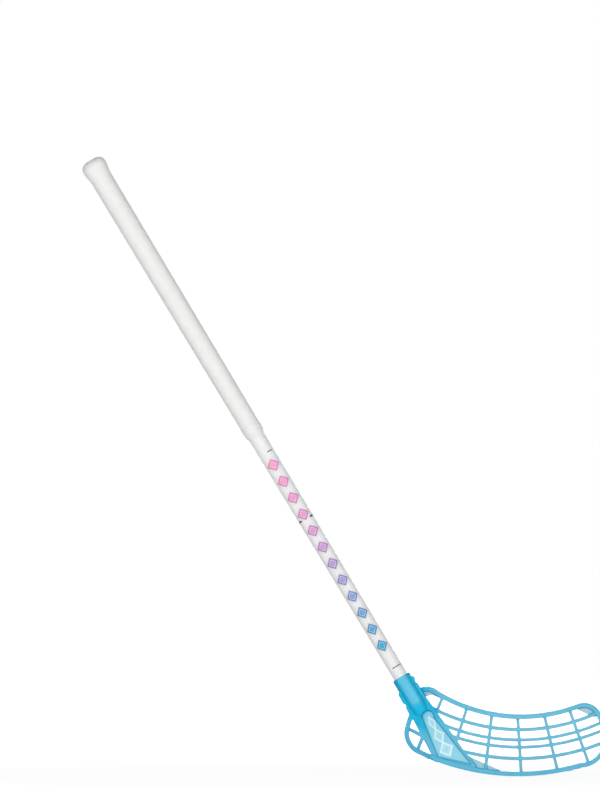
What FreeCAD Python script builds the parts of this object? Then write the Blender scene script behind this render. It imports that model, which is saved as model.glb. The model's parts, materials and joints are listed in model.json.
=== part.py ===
import FreeCAD, Part
import math
import os

# A floorball stick in playing pose. The blade stands on the floor along X with its toe towards +X,
# and the shaft leans back over the heel, towards -X. The blade's hollow side faces +Y.
# The origin is on the shaft's axis, in the middle of the grip. Lengths are millimetres.

# Stance: the angle between shaft and floor, in degrees, and where the shaft's axis meets the floor,
# as a share of the blade's length from the heel.
lie_angle = 59.0
shaft_foot_share = 0.277

# Shaft: a tapered composite tube.
shaft_length = 920.0
shaft_lower_diameter = 20.8
shaft_upper_diameter = 28.2
shaft_wall = 1.7

# Grip: cushion tape wound on the shaft and over the butt cap, stuck on with a thin film.
grip_length = 455.0
tape_thickness = 2.1
adhesive_gap = 0.1

# Butt cap: a plug with a head on the tube's end and a flared collar round it.
# The knob's sizes are measured on the tape, down from the butt.
cap_head = 5.8
cap_fit = 0.1
cap_spigot_length = 38.0
cap_spigot_wall = 2.0
cap_face_radius = 9.8
collar_length = 12.0
collar_lip = 0.5
knob_flare = 2.1
knob_drop = 11.7
knob_shoulder_drop = 4.4
knob_shoulder_inset = 1.9
knob_neck_drop = 29.0

# Finish band: it binds the tape's lower end and slopes down to the shaft.
band_overlap = 5.0
band_crown_length = 4.0
band_tail_length = 16.0
band_thickness = 0.5
band_edge = 0.2

# Blade as a whole. Its height is taken at the knuckle, where the rim rises over the heel.
blade_length = 297.0
blade_height = 131.0
rim_width = 6.7
rim_depth = 10.5
land_height = 1.1

# Blade form: from a share of its length the toe hooks towards +Y, and the face is dished.
hook_start_share = 0.326
hook_radius = 780.0
dish_radius = 380.0
dish_depth = 3.0
dish_centre_share = 0.38

# Lattice: four long ribs that sag like the rim, cross ribs, two heel ribs and thin corner webs.
rib_depth = 7.0
long_rib_widths = (4.8, 4.3, 4.3, 4.8)
cross_rib_width = 4.0
heel_rib_width = 4.9
web_depth = 4.6

# Socket: a barrel that takes the shaft's end, with room for glue and stepped fins on both sides.
# Its nose runs out on the wing, down to a share of the barrel's radius.
shaft_end_drop = 23.9
socket_length = 45.0
socket_wall = 2.35
socket_lip = 1.2
bore_room = 0.8
glue_gap = 0.2
nose_length = 27.0
nose_tip_share = 0.42
fin_reach = 3.3
fin_depth = 15.0

# Wing: the frame that carries the socket down to the floor, round a sunk panel.
wing_foot_depth = 9.6
panel_thickness = 3.0

# One overrun serves all cuts, and a taper counts as gentle up to a share of its length.
overrun = 30.0
gentle_share = 0.1

# The blade's outer edge, from the knuckle round the toe and back to the heel. Each row is a point that
# an arc passes and the point where it ends, as shares of the blade's length and height.
knuckle_to_toe_shares = (
    ((0.109, 1.000), (0.168, 0.949)),
    ((0.575, 0.691), (0.847, 0.798)),
    ((0.922, 0.800), (0.973, 0.674)),
    ((1.000, 0.470), (0.992, 0.290)),
    ((0.957, 0.172), (0.871, 0.095)),
)
floor_edge_shares = ((0.566, 0.000), (0.079, 0.240))
heel_corner_shares = ((0.020, 0.340), (0.000, 0.492))
heel_back_share = (0.010, 0.601)

# Where that edge leaves the socket and comes back to it: across the axis as a share of the fins' reach,
# and along it, from the floor, as a share of the station of the shaft's end.
knuckle_root_share = (0.55, 1.13)
heel_root_share = (-0.90, 0.94)

# The fins' edges, from the top down: across as a share of the fins' reach, and down from the socket's
# mouth as a share of the socket's length.
right_fin_shares = (
    (0.70, 0.12), (0.95, 0.21), (0.95, 0.29), (0.865, 0.35),
    (0.865, 0.40), (0.95, 0.45), (0.96, 0.97), (1.06, 1.43),
)
left_fin_shares = (
    (0.70, 0.37), (0.97, 0.46), (1.01, 0.78), (0.89, 0.85),
    (0.89, 0.91), (1.00, 0.97), (1.03, 1.13), (0.98, 1.43),
)

# The wing's lower corners, and its panel with the top of the arch over it, as shares of the blade.
wing_foot_shares = ((0.292, 0.291), (0.374, 0.056), (0.142, 0.207), (0.129, 0.266))
panel_shares = ((0.148, 0.657), (0.332, 0.129), (0.165, 0.215), (0.085, 0.660))
panel_arch_share = (0.111, 0.736)

# Long ribs: the lowest point as a share of the blade's height, and the radius as a share of its length.
# All are lowest at one place along the blade.
long_rib_low_shares = (0.521, 0.406, 0.325, 0.198)
long_rib_radius_shares = (0.936, 0.999, 1.057, 1.130)
long_rib_middle_share = 0.571

# Cross ribs and heel ribs: both ends, as shares of the blade.
cross_rib_shares = (
    ((0.191, 0.895), (0.158, 0.716)),
    ((0.310, 0.777), (0.251, 0.355)),
    ((0.432, 0.707), (0.398, 0.050)),
    ((0.558, 0.672), (0.576, 0.028)),
    ((0.688, 0.695), (0.755, 0.060)),
    ((0.810, 0.765), (0.910, 0.135)),
)
heel_rib_shares = (
    ((0.012, 0.542), (0.095, 0.444)),
    ((0.093, 0.452), (0.063, 0.285)),
)

# Corner webs on the hollow side, at knuckle, toe and wing foot: corners as shares of the blade.
web_shares = (
    ((0.084, 0.955), (0.092, 0.885), (0.138, 0.911), (0.183, 0.866), (0.217, 0.890), (0.148, 0.980)),
    ((0.834, 0.790), (0.851, 0.749), (0.935, 0.660), (0.972, 0.680), (0.927, 0.790)),
    ((0.242, 0.350), (0.326, 0.212), (0.404, 0.130), (0.478, 0.060), (0.464, 0.020), (0.296, 0.080)),
)

# Lands, the saw teeth on the floor edge: where each starts and ends, as shares of the blade's length.
land_shares = ((0.084, 0.123), (0.123, 0.163), (0.789, 0.829), (0.829, 0.868))

Vector = FreeCAD.Vector
ORIGIN = Vector(0, 0, 0)
AXIS_X = Vector(1, 0, 0)
AXIS_Y = Vector(0, 1, 0)
AXIS_Z = Vector(0, 0, 1)

# Stations are measured up the shaft's axis, from the floor.
lie = math.radians(lie_angle)
shaft_foot = shaft_foot_share * blade_length
shaft_bottom = (blade_height - shaft_end_drop) / math.sin(lie)
shaft_top = shaft_bottom + shaft_length
socket_mouth = shaft_bottom + socket_length
butt = shaft_top + cap_head
grip_bottom = butt - grip_length
grip_middle = (butt + grip_bottom) / 2


def tube_radius(station):
    """The shaft's outer radius at a station."""
    share = (station - shaft_bottom) / shaft_length
    return (shaft_lower_diameter + share * (shaft_upper_diameter - shaft_lower_diameter)) / 2


# Radii that pieces share: the tape's outside over the tube, the knob, and the socket with its fins.
tape_skin = tape_thickness + adhesive_gap
flare_radius = tube_radius(shaft_top) + cap_fit + knob_flare
knob_radius = flare_radius + tape_skin
flare_station = butt - knob_drop
collar_bottom = shaft_top - collar_length
barrel_radius = tube_radius(socket_mouth) + bore_room + socket_wall
flange_reach = barrel_radius + fin_reach


def on_shaft(across, station):
    """A point of the blade's plane, given across the shaft's axis and along it."""
    x = shaft_foot + across * math.sin(lie) - station * math.cos(lie)
    z = across * math.cos(lie) + station * math.sin(lie)
    return Vector(x, 0, z)


def on_blade(share):
    """A point of the blade's plane, given as shares of its length and height."""
    along, up = share
    return Vector(along * blade_length, 0, up * blade_height)


def at(radius, station):
    """A point of a half profile that is turned about the shaft's axis."""
    return Vector(radius, 0, station)


def along_shaft(shape):
    """Lean a shape that was made about Z onto the shaft's axis."""
    leaning = shape.copy()
    leaning.rotate(ORIGIN, AXIS_Y, lie_angle - 90)
    leaning.translate(on_shaft(0, 0))
    return leaning


def line(start, end):
    return Part.makeLine(start, end)


def arc(start, via, end):
    return Part.Arc(start, via, end).toShape()


def curve(poles):
    """A smooth curve that starts and ends along its outer poles."""
    bezier = Part.BezierCurve()
    bezier.setPoles(poles)
    return bezier.toShape()


def polyline(points):
    return [line(a, b) for a, b in zip(points, points[1:])]


def flat(edges):
    return Part.Face(Part.Wire(edges))


def polygon(points):
    return flat(polyline(points + points[:1]))


def run(start, end):
    """A straight run of a half profile. A gentle taper is drawn as a curve, which turns into few facets."""
    is_gentle = abs(end.x - start.x) < gentle_share * abs(end.z - start.z)
    on_axis = start.x == 0 and end.x == 0
    return curve([start, end]) if is_gentle and not on_axis else line(start, end)


def half_profile(points):
    return [run(a, b) for a, b in zip(points, points[1:])]


def turned(edges):
    """A solid of revolution about the shaft's axis, from the edges of a half profile."""
    return along_shaft(flat(edges).revolve(ORIGIN, AXIS_Z, 360))


def turned_polygon(points):
    return turned(half_profile(points + points[:1]))


def prism(face, depth):
    """A face of the blade's plane, thickened evenly to both sides."""
    solid = face.extrude(AXIS_Y * depth)
    solid.translate(AXIS_Y * (-depth / 2))
    return solid


def bar(start, end, width):
    """A straight rib in the blade's plane."""
    run = end.sub(start)
    side = Vector(run.z, 0, -run.x).normalize() * (width / 2)
    return polygon([start.add(side), end.add(side), end.sub(side), start.sub(side)])


def make_shaft_tube():
    """The tapered tube, open at both ends."""
    lower = tube_radius(shaft_bottom)
    upper = tube_radius(shaft_top)
    return turned_polygon([
        at(lower - shaft_wall, shaft_bottom),
        at(lower, shaft_bottom),
        at(upper, shaft_top),
        at(upper - shaft_wall, shaft_top),
    ])


def make_butt_cap():
    """The cap: a hollow spigot in the tube, a head on its end and a flared collar round it."""
    spigot_end = shaft_top - cap_spigot_length
    bore_top = tube_radius(shaft_top) - shaft_wall - cap_fit
    bore_end = tube_radius(spigot_end) - shaft_wall - cap_fit
    collar_inside = tube_radius(collar_bottom) + cap_fit
    return turned_polygon([
        at(0, butt),
        at(cap_face_radius, butt),
        at(cap_face_radius, butt - tape_skin),
        at(flare_radius, flare_station),
        at(collar_inside + collar_lip, collar_bottom),
        at(collar_inside, collar_bottom),
        at(tube_radius(shaft_top) + cap_fit, shaft_top),
        at(bore_top, shaft_top),
        at(bore_end, spigot_end),
        at(bore_end - cap_spigot_wall, spigot_end),
        at(bore_top - cap_spigot_wall, shaft_top),
        at(0, shaft_top),
    ])


def make_grip_tape():
    """The wound tape as one sleeve, from the cap's face over the knob and down the shaft."""
    edge = cap_face_radius + adhesive_gap
    neck = butt - knob_neck_drop
    bend = (flare_station + neck) / 2
    neck_radius = tube_radius(neck) + tape_skin
    collar_end = collar_bottom - adhesive_gap
    collar_radius = tube_radius(collar_bottom) + cap_fit + collar_lip + adhesive_gap
    inner_flare = knob_radius - tape_thickness
    inner_top = butt - tape_thickness
    knob_arc = arc(
        at(edge, butt),
        at(knob_radius - knob_shoulder_inset, butt - knob_shoulder_drop),
        at(knob_radius, flare_station),
    )
    knob_neck = curve([
        at(knob_radius, flare_station),
        at(knob_radius, bend),
        at(neck_radius, bend),
        at(neck_radius, neck),
    ])
    rest = half_profile([
        at(neck_radius, neck),
        at(tube_radius(grip_bottom) + tape_skin, grip_bottom),
        at(tube_radius(grip_bottom) + adhesive_gap, grip_bottom),
        at(tube_radius(collar_end) + adhesive_gap, collar_end),
        at(collar_radius, collar_end),
        at(inner_flare, flare_station),
        at(edge, inner_top),
        at(edge, butt),
    ])
    return turned([knob_arc, knob_neck] + rest)


def make_grip_finish_band():
    """The band over the tape's lower end, with a slope down to the shaft."""
    top = grip_bottom + band_overlap
    step = grip_bottom - adhesive_gap
    crown_end = grip_bottom - band_crown_length
    tail = grip_bottom - band_tail_length
    seat = tape_skin + adhesive_gap
    crown = tube_radius(grip_bottom) + seat + band_thickness
    return turned_polygon([
        at(tube_radius(top) + seat, top),
        at(tube_radius(top) + seat + band_edge, top),
        at(crown, grip_bottom),
        at(crown, crown_end),
        at(tube_radius(tail) + adhesive_gap + band_edge, tail),
        at(tube_radius(tail) + adhesive_gap, tail),
        at(tube_radius(step) + adhesive_gap, step),
        at(tube_radius(step) + seat, step),
    ])


def make_socket_glue():
    """The film of hot melt between the tube and the socket's bore."""
    lower = tube_radius(shaft_bottom)
    upper = tube_radius(socket_mouth)
    return turned_polygon([
        at(lower + glue_gap, shaft_bottom),
        at(lower + bore_room - glue_gap, shaft_bottom),
        at(upper + bore_room - glue_gap, socket_mouth),
        at(upper + glue_gap, socket_mouth),
    ])


def blade_outline():
    """The face inside the blade's outer edge, closed by a line through the neck."""
    knuckle_root = on_shaft(knuckle_root_share[0] * flange_reach, knuckle_root_share[1] * shaft_bottom)
    heel_root = on_shaft(heel_root_share[0] * flange_reach, heel_root_share[1] * shaft_bottom)
    edges = []
    here = knuckle_root
    for via, end in knuckle_to_toe_shares + (floor_edge_shares, heel_corner_shares):
        edges.append(arc(here, on_blade(via), on_blade(end)))
        here = on_blade(end)
    edges.append(arc(here, on_blade(heel_back_share), heel_root))
    edges.append(line(heel_root, knuckle_root))
    return flat(edges)


def rim_land(first, last):
    """One saw tooth on the floor edge, rising towards the toe."""
    via, end = floor_edge_shares
    edge = arc(on_blade(knuckle_to_toe_shares[-1][1]), on_blade(via), on_blade(end)).Curve

    def on_edge(share, reach):
        x = share * blade_length - edge.Center.x
        down = Vector(x, 0, -math.sqrt(edge.Radius ** 2 - x ** 2)).normalize()
        return edge.Center.add(down * (edge.Radius + reach))

    root = -rim_width / 2
    return polygon([on_edge(first, root), on_edge(first, 0), on_edge(last, land_height), on_edge(last, root)])


def long_rib(low_share, radius_share, width):
    """A ring about the rib's centre. Only its lowest stretch lies inside the blade."""
    radius = radius_share * blade_length
    centre = on_blade((long_rib_middle_share, low_share)).add(AXIS_Z * radius)
    outer = flat([Part.makeCircle(radius + width / 2, centre, AXIS_Y)])
    inner = flat([Part.makeCircle(radius - width / 2, centre, AXIS_Y)])
    return outer.cut(inner)


def lattice_face(outline):
    """All ribs, the ones between wing and toe cut off at the axis and the outline."""
    field = outline.common(polygon([
        on_shaft(0, -overrun),
        on_shaft(0, socket_mouth),
        Vector(blade_length + overrun, 0, blade_height + overrun),
        Vector(blade_length + overrun, 0, -overrun),
    ]))
    rows = zip(long_rib_low_shares, long_rib_radius_shares, long_rib_widths)
    ribs = [long_rib(*row) for row in rows]
    ribs += [bar(on_blade(a), on_blade(b), cross_rib_width) for a, b in cross_rib_shares]
    heel_ribs = [bar(on_blade(a), on_blade(b), heel_rib_width) for a, b in heel_rib_shares]
    return ribs[0].fuse(ribs[1:]).common(field).fuse(heel_ribs)


def dished_slab(near, far):
    """A slab between two offsets from the blade's middle, dished all along and hooked towards the toe."""
    hook_start = hook_start_share * blade_length
    centre_y = dish_radius - dish_depth
    centre_z = dish_centre_share * blade_height
    heights = (-overrun, centre_z, blade_height + overrun)

    def dish_points(offset):
        radius = dish_radius - offset
        return [
            Vector(hook_start, centre_y - math.sqrt(radius ** 2 - (z - centre_z) ** 2), z)
            for z in heights
        ]

    front = dish_points(near)
    back = dish_points(far)
    section = flat([
        arc(*front),
        line(front[2], back[2]),
        arc(*reversed(back)),
        line(back[0], front[0]),
    ])
    swing = math.degrees(math.asin((blade_length + overrun - hook_start) / hook_radius))
    straight = section.extrude(AXIS_X * (-hook_start - overrun))
    hooked = section.revolve(Vector(hook_start, hook_radius, 0), AXIS_Z, swing)
    return straight.fuse(hooked)


def follow_dish(face, near, far):
    """A face of the blade's plane, given depth along the dished and hooked form."""
    return prism(face, 2 * blade_length).common(dished_slab(near, far))


def make_wing():
    """The stepped fins and the frame below them, thinner towards the floor."""
    def fin_edge(shares, side):
        return [on_shaft(side * a * flange_reach, socket_mouth - b * socket_length) for a, b in shares]

    foot = [on_blade(share) for share in wing_foot_shares]
    outline = fin_edge(right_fin_shares, 1) + foot + fin_edge(left_fin_shares, -1)[::-1]
    wedge = polygon([
        Vector(-blade_length, -fin_depth / 2, socket_mouth),
        Vector(-blade_length, fin_depth / 2, socket_mouth),
        Vector(-blade_length, wing_foot_depth / 2, 0),
        Vector(-blade_length, -wing_foot_depth / 2, 0),
    ]).extrude(AXIS_X * (2 * blade_length))
    return prism(polygon(outline), blade_length).common(along_shaft(wedge))


def make_panel_pockets():
    """The two pockets that leave a thin panel inside the wing's frame."""
    corners = [on_blade(share) for share in panel_shares]
    arch = arc(corners[-1], on_blade(panel_arch_share), corners[0])
    face = flat(polyline(corners) + [arch])
    return prism(face, blade_length).cut(prism(face, panel_thickness))


def make_barrel():
    """The socket before it is bored, with a bevelled lip and a nose below."""
    lip_end = socket_mouth - socket_lip
    nose_end = shaft_bottom - nose_length
    nose_tip = nose_tip_share * barrel_radius
    nose_curve = curve([
        at(barrel_radius, shaft_bottom),
        at(barrel_radius, shaft_bottom - nose_length / 2),
        at(nose_tip, nose_end),
    ])
    rest = polyline([
        at(nose_tip, nose_end),
        at(0, nose_end),
        at(0, socket_mouth),
        at(barrel_radius - socket_lip, socket_mouth),
        at(barrel_radius, lip_end),
        at(barrel_radius, shaft_bottom),
    ])
    return turned([nose_curve] + rest)


def make_bore():
    """What the tube and its glue take up in the socket."""
    lower = tube_radius(shaft_bottom) + bore_room
    upper = tube_radius(socket_mouth) + bore_room
    return turned_polygon([
        at(0, shaft_bottom),
        at(lower, shaft_bottom),
        at(upper, socket_mouth),
        at(upper, socket_mouth + overrun),
        at(0, socket_mouth + overrun),
    ])


def make_blade():
    """One moulding: socket, fins, wing with its panel, rim, lattice and heel loop."""
    outline = blade_outline()
    lands = [rim_land(first, last) for first, last in land_shares]
    rim = outline.cut(outline.makeOffset2D(-rim_width)).fuse(lands)
    webs = [polygon([on_blade(share) for share in corners]).common(outline) for corners in web_shares]
    pieces = [follow_dish(lattice_face(outline), -rib_depth / 2, rib_depth / 2)]
    pieces += [follow_dish(web, 0, web_depth) for web in webs]
    pieces += [make_wing(), make_barrel()]
    body = follow_dish(rim, -rim_depth / 2, rim_depth / 2).fuse(pieces)
    return body.cut(make_panel_pockets()).cut(make_bore()).removeSplitter()


def main():
    os.makedirs("parts", exist_ok=True)
    nodes = {
        "shaft_tube": make_shaft_tube(),
        "butt_cap": make_butt_cap(),
        "grip_tape": make_grip_tape(),
        "grip_finish_band": make_grip_finish_band(),
        "socket_glue": make_socket_glue(),
        "blade": make_blade(),
    }
    for name, shape in nodes.items():
        shape.translate(on_shaft(0, grip_middle) * -1)
        shape.exportStep("parts/" + name + ".step")
        print(name, len(shape.Solids), "solid, valid:", shape.isValid(), round(shape.Volume), "cubic mm")


main()
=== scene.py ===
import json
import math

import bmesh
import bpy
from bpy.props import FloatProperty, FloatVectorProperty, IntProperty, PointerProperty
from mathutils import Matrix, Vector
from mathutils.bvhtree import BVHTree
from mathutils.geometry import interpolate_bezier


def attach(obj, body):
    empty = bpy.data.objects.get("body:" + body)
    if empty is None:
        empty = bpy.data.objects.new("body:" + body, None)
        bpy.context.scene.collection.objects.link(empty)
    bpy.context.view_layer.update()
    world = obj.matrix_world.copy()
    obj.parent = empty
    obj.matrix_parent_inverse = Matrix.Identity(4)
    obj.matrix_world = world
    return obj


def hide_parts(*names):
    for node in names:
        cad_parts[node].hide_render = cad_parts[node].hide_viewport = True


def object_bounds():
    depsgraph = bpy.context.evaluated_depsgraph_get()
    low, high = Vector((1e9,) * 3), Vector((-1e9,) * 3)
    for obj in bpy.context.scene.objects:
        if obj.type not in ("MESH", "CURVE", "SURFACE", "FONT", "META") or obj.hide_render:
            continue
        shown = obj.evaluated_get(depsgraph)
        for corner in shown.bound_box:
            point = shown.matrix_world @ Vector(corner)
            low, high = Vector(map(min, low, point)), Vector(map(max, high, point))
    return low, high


bl_info = {
    "name": "Floorball Stick",
    "version": (1, 0, 0),
    "blender": (4, 5, 0),
    "location": "View3D > Sidebar > Stick",
    "description": "Dresses the frame of a floorball stick: shaft, wound grip, moulded blade and stage",
    "category": "Add Mesh",
}

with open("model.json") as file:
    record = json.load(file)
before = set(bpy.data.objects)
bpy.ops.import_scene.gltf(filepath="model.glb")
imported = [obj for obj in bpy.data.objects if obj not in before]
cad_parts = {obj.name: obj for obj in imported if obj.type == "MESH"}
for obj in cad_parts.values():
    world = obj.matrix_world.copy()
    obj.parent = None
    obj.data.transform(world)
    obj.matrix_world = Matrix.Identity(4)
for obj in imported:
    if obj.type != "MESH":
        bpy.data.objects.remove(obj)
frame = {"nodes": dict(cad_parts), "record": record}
cad_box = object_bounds()

MM = 0.001
# Steps of a full turn, and the room between pieces that sit on each other.
ROUND_STEPS = 128
GAP = 0.1 * MM

# The frame's directions: up the shaft, towards the viewer of the blade's outer side, and to their right.
GRIP_MOUNT = next(mount for mount in frame["record"]["mounts"] if mount["name"] == "hand_grip")
AXIS = Vector(GRIP_MOUNT["axis"]).normalized()
FRONT = Vector((0, -1, 0))
RIGHT = AXIS.cross(FRONT)


def station(point):
    """How far up the shaft a point lies, from the middle of the grip."""
    return point.dot(AXIS)


def off_axis(point):
    """How far a point lies from the shaft's axis."""
    return (point - AXIS * station(point)).length


def turn(point):
    """Where a point lies round the shaft, in turns, 0 at the front and growing to the right."""
    return math.atan2(point.dot(RIGHT), point.dot(FRONT)) / math.tau


def points_of(node):
    """All points of a node's mesh."""
    return [vertex.co for vertex in frame["nodes"][node].data.vertices]


def span(node):
    """A node's lowest and highest station."""
    stations = [station(point) for point in points_of(node)]
    return min(stations), max(stations)


def reach(node, near):
    """A node's smallest and largest radius close to a station."""
    radii = [off_axis(point) for point in points_of(node) if abs(station(point) - near) < 0.05 * MM]
    return min(radii), max(radii)


SHAFT_LOW, SHAFT_HIGH = span("shaft_tube")
GRIP_LOW, BUTT = span("grip_tape")
BAND_LOW, BAND_HIGH = span("grip_finish_band")
CAP_LOW = span("butt_cap")[0]
LOWER_BORE, LOWER_RADIUS = reach("shaft_tube", SHAFT_LOW)
UPPER_BORE, UPPER_RADIUS = reach("shaft_tube", SHAFT_HIGH)
KNOB_RADIUS = max(off_axis(point) for point in points_of("grip_tape"))
FLARE_RADIUS = max(off_axis(point) for point in points_of("butt_cap"))
CAP_FACE_RADIUS = reach("butt_cap", BUTT)[1]


def tube_radius(along):
    """The shaft's outer radius at a station."""
    share = (along - SHAFT_LOW) / (SHAFT_HIGH - SHAFT_LOW)
    return LOWER_RADIUS + share * (UPPER_RADIUS - LOWER_RADIUS)


# How far the tape's skin stands over the shaft, and where the cap's collar ends under it.
GRIP_SKIN = reach("grip_tape", GRIP_LOW)[1] - tube_radius(GRIP_LOW)
COLLAR_LOW = BUTT - 17.8 * MM

# The depth of plastic that has the last colour of the blade's scale.
DEEPEST = 0.027


def ease(value, start, end):
    """A smooth step from 0 at start to 1 at end."""
    share = min(max((value - start) / (end - start), 0), 1)
    return share * share * (3 - 2 * share)


class ShaftSettings(bpy.types.PropertyGroup):
    """Sizes and colours of the shaft and its print"""

    lacquer: FloatVectorProperty(
        name="Lacquer", description="Colour of the shaft's lacquer",
        default=(0.84, 0.843, 0.846), size=3, subtype="COLOR", min=0, max=1,
    )
    rings: IntProperty(
        name="Rings", description="How many rings of faces the shaft has along its length",
        default=100, min=1,
    )
    bore_rings: IntProperty(
        name="Bore rings", description="How many rings of faces the shaft's inside has", default=8, min=1,
    )
    print_top: FloatProperty(
        name="Print top", description="Station where the row of lozenges starts",
        default=-0.292, unit="LENGTH",
    )
    print_bottom: FloatProperty(
        name="Print bottom", description="Station where the row of lozenges ends",
        default=-0.600, unit="LENGTH",
    )
    lozenges: IntProperty(
        name="Lozenges", description="How many lozenges the print has", default=12, min=2,
    )
    lozenge_length: FloatProperty(
        name="Lozenge length", description="Length of a lozenge along the shaft",
        default=0.0205, unit="LENGTH",
    )
    lozenge_width: FloatProperty(
        name="Lozenge width", description="Width of a lozenge round the shaft",
        default=0.0205, unit="LENGTH",
    )
    mark_width: FloatProperty(
        name="Mark width", description="Width that the black lines and wedges follow",
        default=0.0011, unit="LENGTH",
    )
    wedge_place: FloatProperty(
        name="Wedge place", description="Station of the two black wedges beside the print",
        default=-0.384, unit="LENGTH",
    )
    wedge_tip: FloatProperty(
        name="Wedge tip", description="From the front to a wedge's tip", default=0.0055, unit="LENGTH",
    )
    wedge_full: FloatProperty(
        name="Wedge full", description="From the front to a wedge's widest place",
        default=0.0095, unit="LENGTH",
    )
    wedge_end: FloatProperty(
        name="Wedge end", description="From the front to a wedge's blunt end",
        default=0.0165, unit="LENGTH",
    )

    def lines(self):
        """Station, left end and right end of each black line across the shaft."""
        return (-0.2712, 0.0016, 0.0105), (-0.6368, -0.0042, 0.0125)


class GripSettings(bpy.types.PropertyGroup):
    """Sizes and colours of the wound grip, its finish band and the end cap"""

    tape: FloatVectorProperty(
        name="Tape", description="Colour of the cushion tape",
        default=(0.85, 0.85, 0.835), size=3, subtype="COLOR", min=0, max=1,
    )
    pitch: FloatProperty(
        name="Pitch", description="How far one turn of the tape climbs",
        default=0.0205, unit="LENGTH",
    )
    lap_height: FloatProperty(
        name="Lap height", description="How far a turn stands over the one below it",
        default=0.00020, unit="LENGTH",
    )
    knob_drop: FloatProperty(
        name="Knob drop", description="From the butt down to the knob's widest place",
        default=0.0117, unit="LENGTH",
    )
    neck_drop: FloatProperty(
        name="Neck drop", description="From the butt down to where the knob has run out",
        default=0.032, unit="LENGTH",
    )
    band: FloatVectorProperty(
        name="Band", description="Colour of the finish band",
        default=(0.82, 0.82, 0.815), size=3, subtype="COLOR", min=0, max=1,
    )
    band_lift: FloatProperty(
        name="Band lift", description="How far the finish band's lap stands out",
        default=0.00022, unit="LENGTH",
    )
    cap: FloatVectorProperty(
        name="Cap", description="Colour of the end cap",
        default=(0.80, 0.80, 0.795), size=3, subtype="COLOR", min=0, max=1,
    )


class BladeSettings(bpy.types.PropertyGroup):
    """Moulding and colours of the blade"""

    voxel: FloatProperty(
        name="Voxel", description="Grain of the remesh that rounds the moulding's edges",
        default=0.0005, unit="LENGTH",
    )
    smoothing: IntProperty(
        name="Smoothing", description="Passes that soften the edges", default=30, min=1,
    )
    kept_share: FloatProperty(
        name="Kept share", description="Share of the fine faces that is kept",
        default=0.27, min=0.05, max=1, subtype="FACTOR",
    )
    thin: FloatVectorProperty(
        name="Thin", description="Colour of the plastic in the panel",
        default=(0.33, 0.735, 0.85), size=3, subtype="COLOR", min=0, max=1,
    )
    web: FloatVectorProperty(
        name="Web", description="Colour of the plastic in the corner webs",
        default=(0.43, 0.66, 0.76), size=3, subtype="COLOR", min=0, max=1,
    )
    rib: FloatVectorProperty(
        name="Rib", description="Colour of the plastic in the ribs",
        default=(0.160, 0.555, 0.745), size=3, subtype="COLOR", min=0, max=1,
    )
    rim: FloatVectorProperty(
        name="Rim", description="Colour of the plastic in the rim and the wing",
        default=(0.133, 0.53, 0.725), size=3, subtype="COLOR", min=0, max=1,
    )
    fin: FloatVectorProperty(
        name="Fin", description="Colour of the plastic in the fins",
        default=(0.0, 0.465, 0.73), size=3, subtype="COLOR", min=0, max=1,
    )
    deep: FloatVectorProperty(
        name="Deep", description="Colour of the plastic along the sides of the socket",
        default=(0.0, 0.47, 0.74), size=3, subtype="COLOR", min=0, max=1,
    )
    thick: FloatVectorProperty(
        name="Thick", description="Colour of the plastic where it is thickest",
        default=(0.01, 0.52, 0.84), size=3, subtype="COLOR", min=0, max=1,
    )
    # Partly the white shaft seen through the thin wall, partly a painted highlight down the socket's
    # middle, in front and behind.
    core: FloatVectorProperty(
        name="Core", description="Colour of the socket where the shaft shows through",
        default=(0.118, 0.63, 0.90), size=3, subtype="COLOR", min=0, max=1,
    )
    # Painted shade: this tint darkens the plastic where edges and walls turn away from the front, and in
    # the heel loop.
    edge: FloatVectorProperty(
        name="Edge", description="Tint that deepens the plastic at edges and walls",
        default=(0.35, 0.70, 0.80), size=3, subtype="COLOR", min=0, max=1,
    )
    motif: FloatVectorProperty(
        name="Motif", description="Colour of the lozenges on the panel",
        default=(0.88, 0.97, 1.0), size=3, subtype="COLOR", min=0, max=1,
    )
    panel_top: FloatVectorProperty(
        name="Panel top", description="Top of the thin panel, sideways and upwards",
        default=(0.3752, -0.6146), size=2, subtype="TRANSLATION", unit="LENGTH",
    )
    panel_lean: FloatProperty(
        name="Panel lean", description="How far the panel's middle line leans to the toe",
        default=math.radians(28.6), unit="ROTATION", subtype="ANGLE",
    )

    def on_panel(self, point):
        """How far down the panel's middle line a point lies, and how far beside it towards the toe."""
        east = point.x - self.panel_top[0]
        down = self.panel_top[1] - point.z
        lean = (math.sin(self.panel_lean), math.cos(self.panel_lean))
        return east * lean[0] + down * lean[1], east * lean[1] - down * lean[0]

    def beside_panel(self, along, across):
        """Whether a place lies past the panel's side at the toe, its foot or its top."""
        half_width, widening, top, foot = 0.012, 0.17, -0.01, 0.1
        return across > half_width + widening * along or along > foot or along < top

    def panel_lozenges(self):
        """Place down the panel, length and width of each lozenge."""
        return (0.0150, 0.025, 0.0110), (0.0365, 0.026, 0.0170), (0.0585, 0.026, 0.0230)


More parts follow.
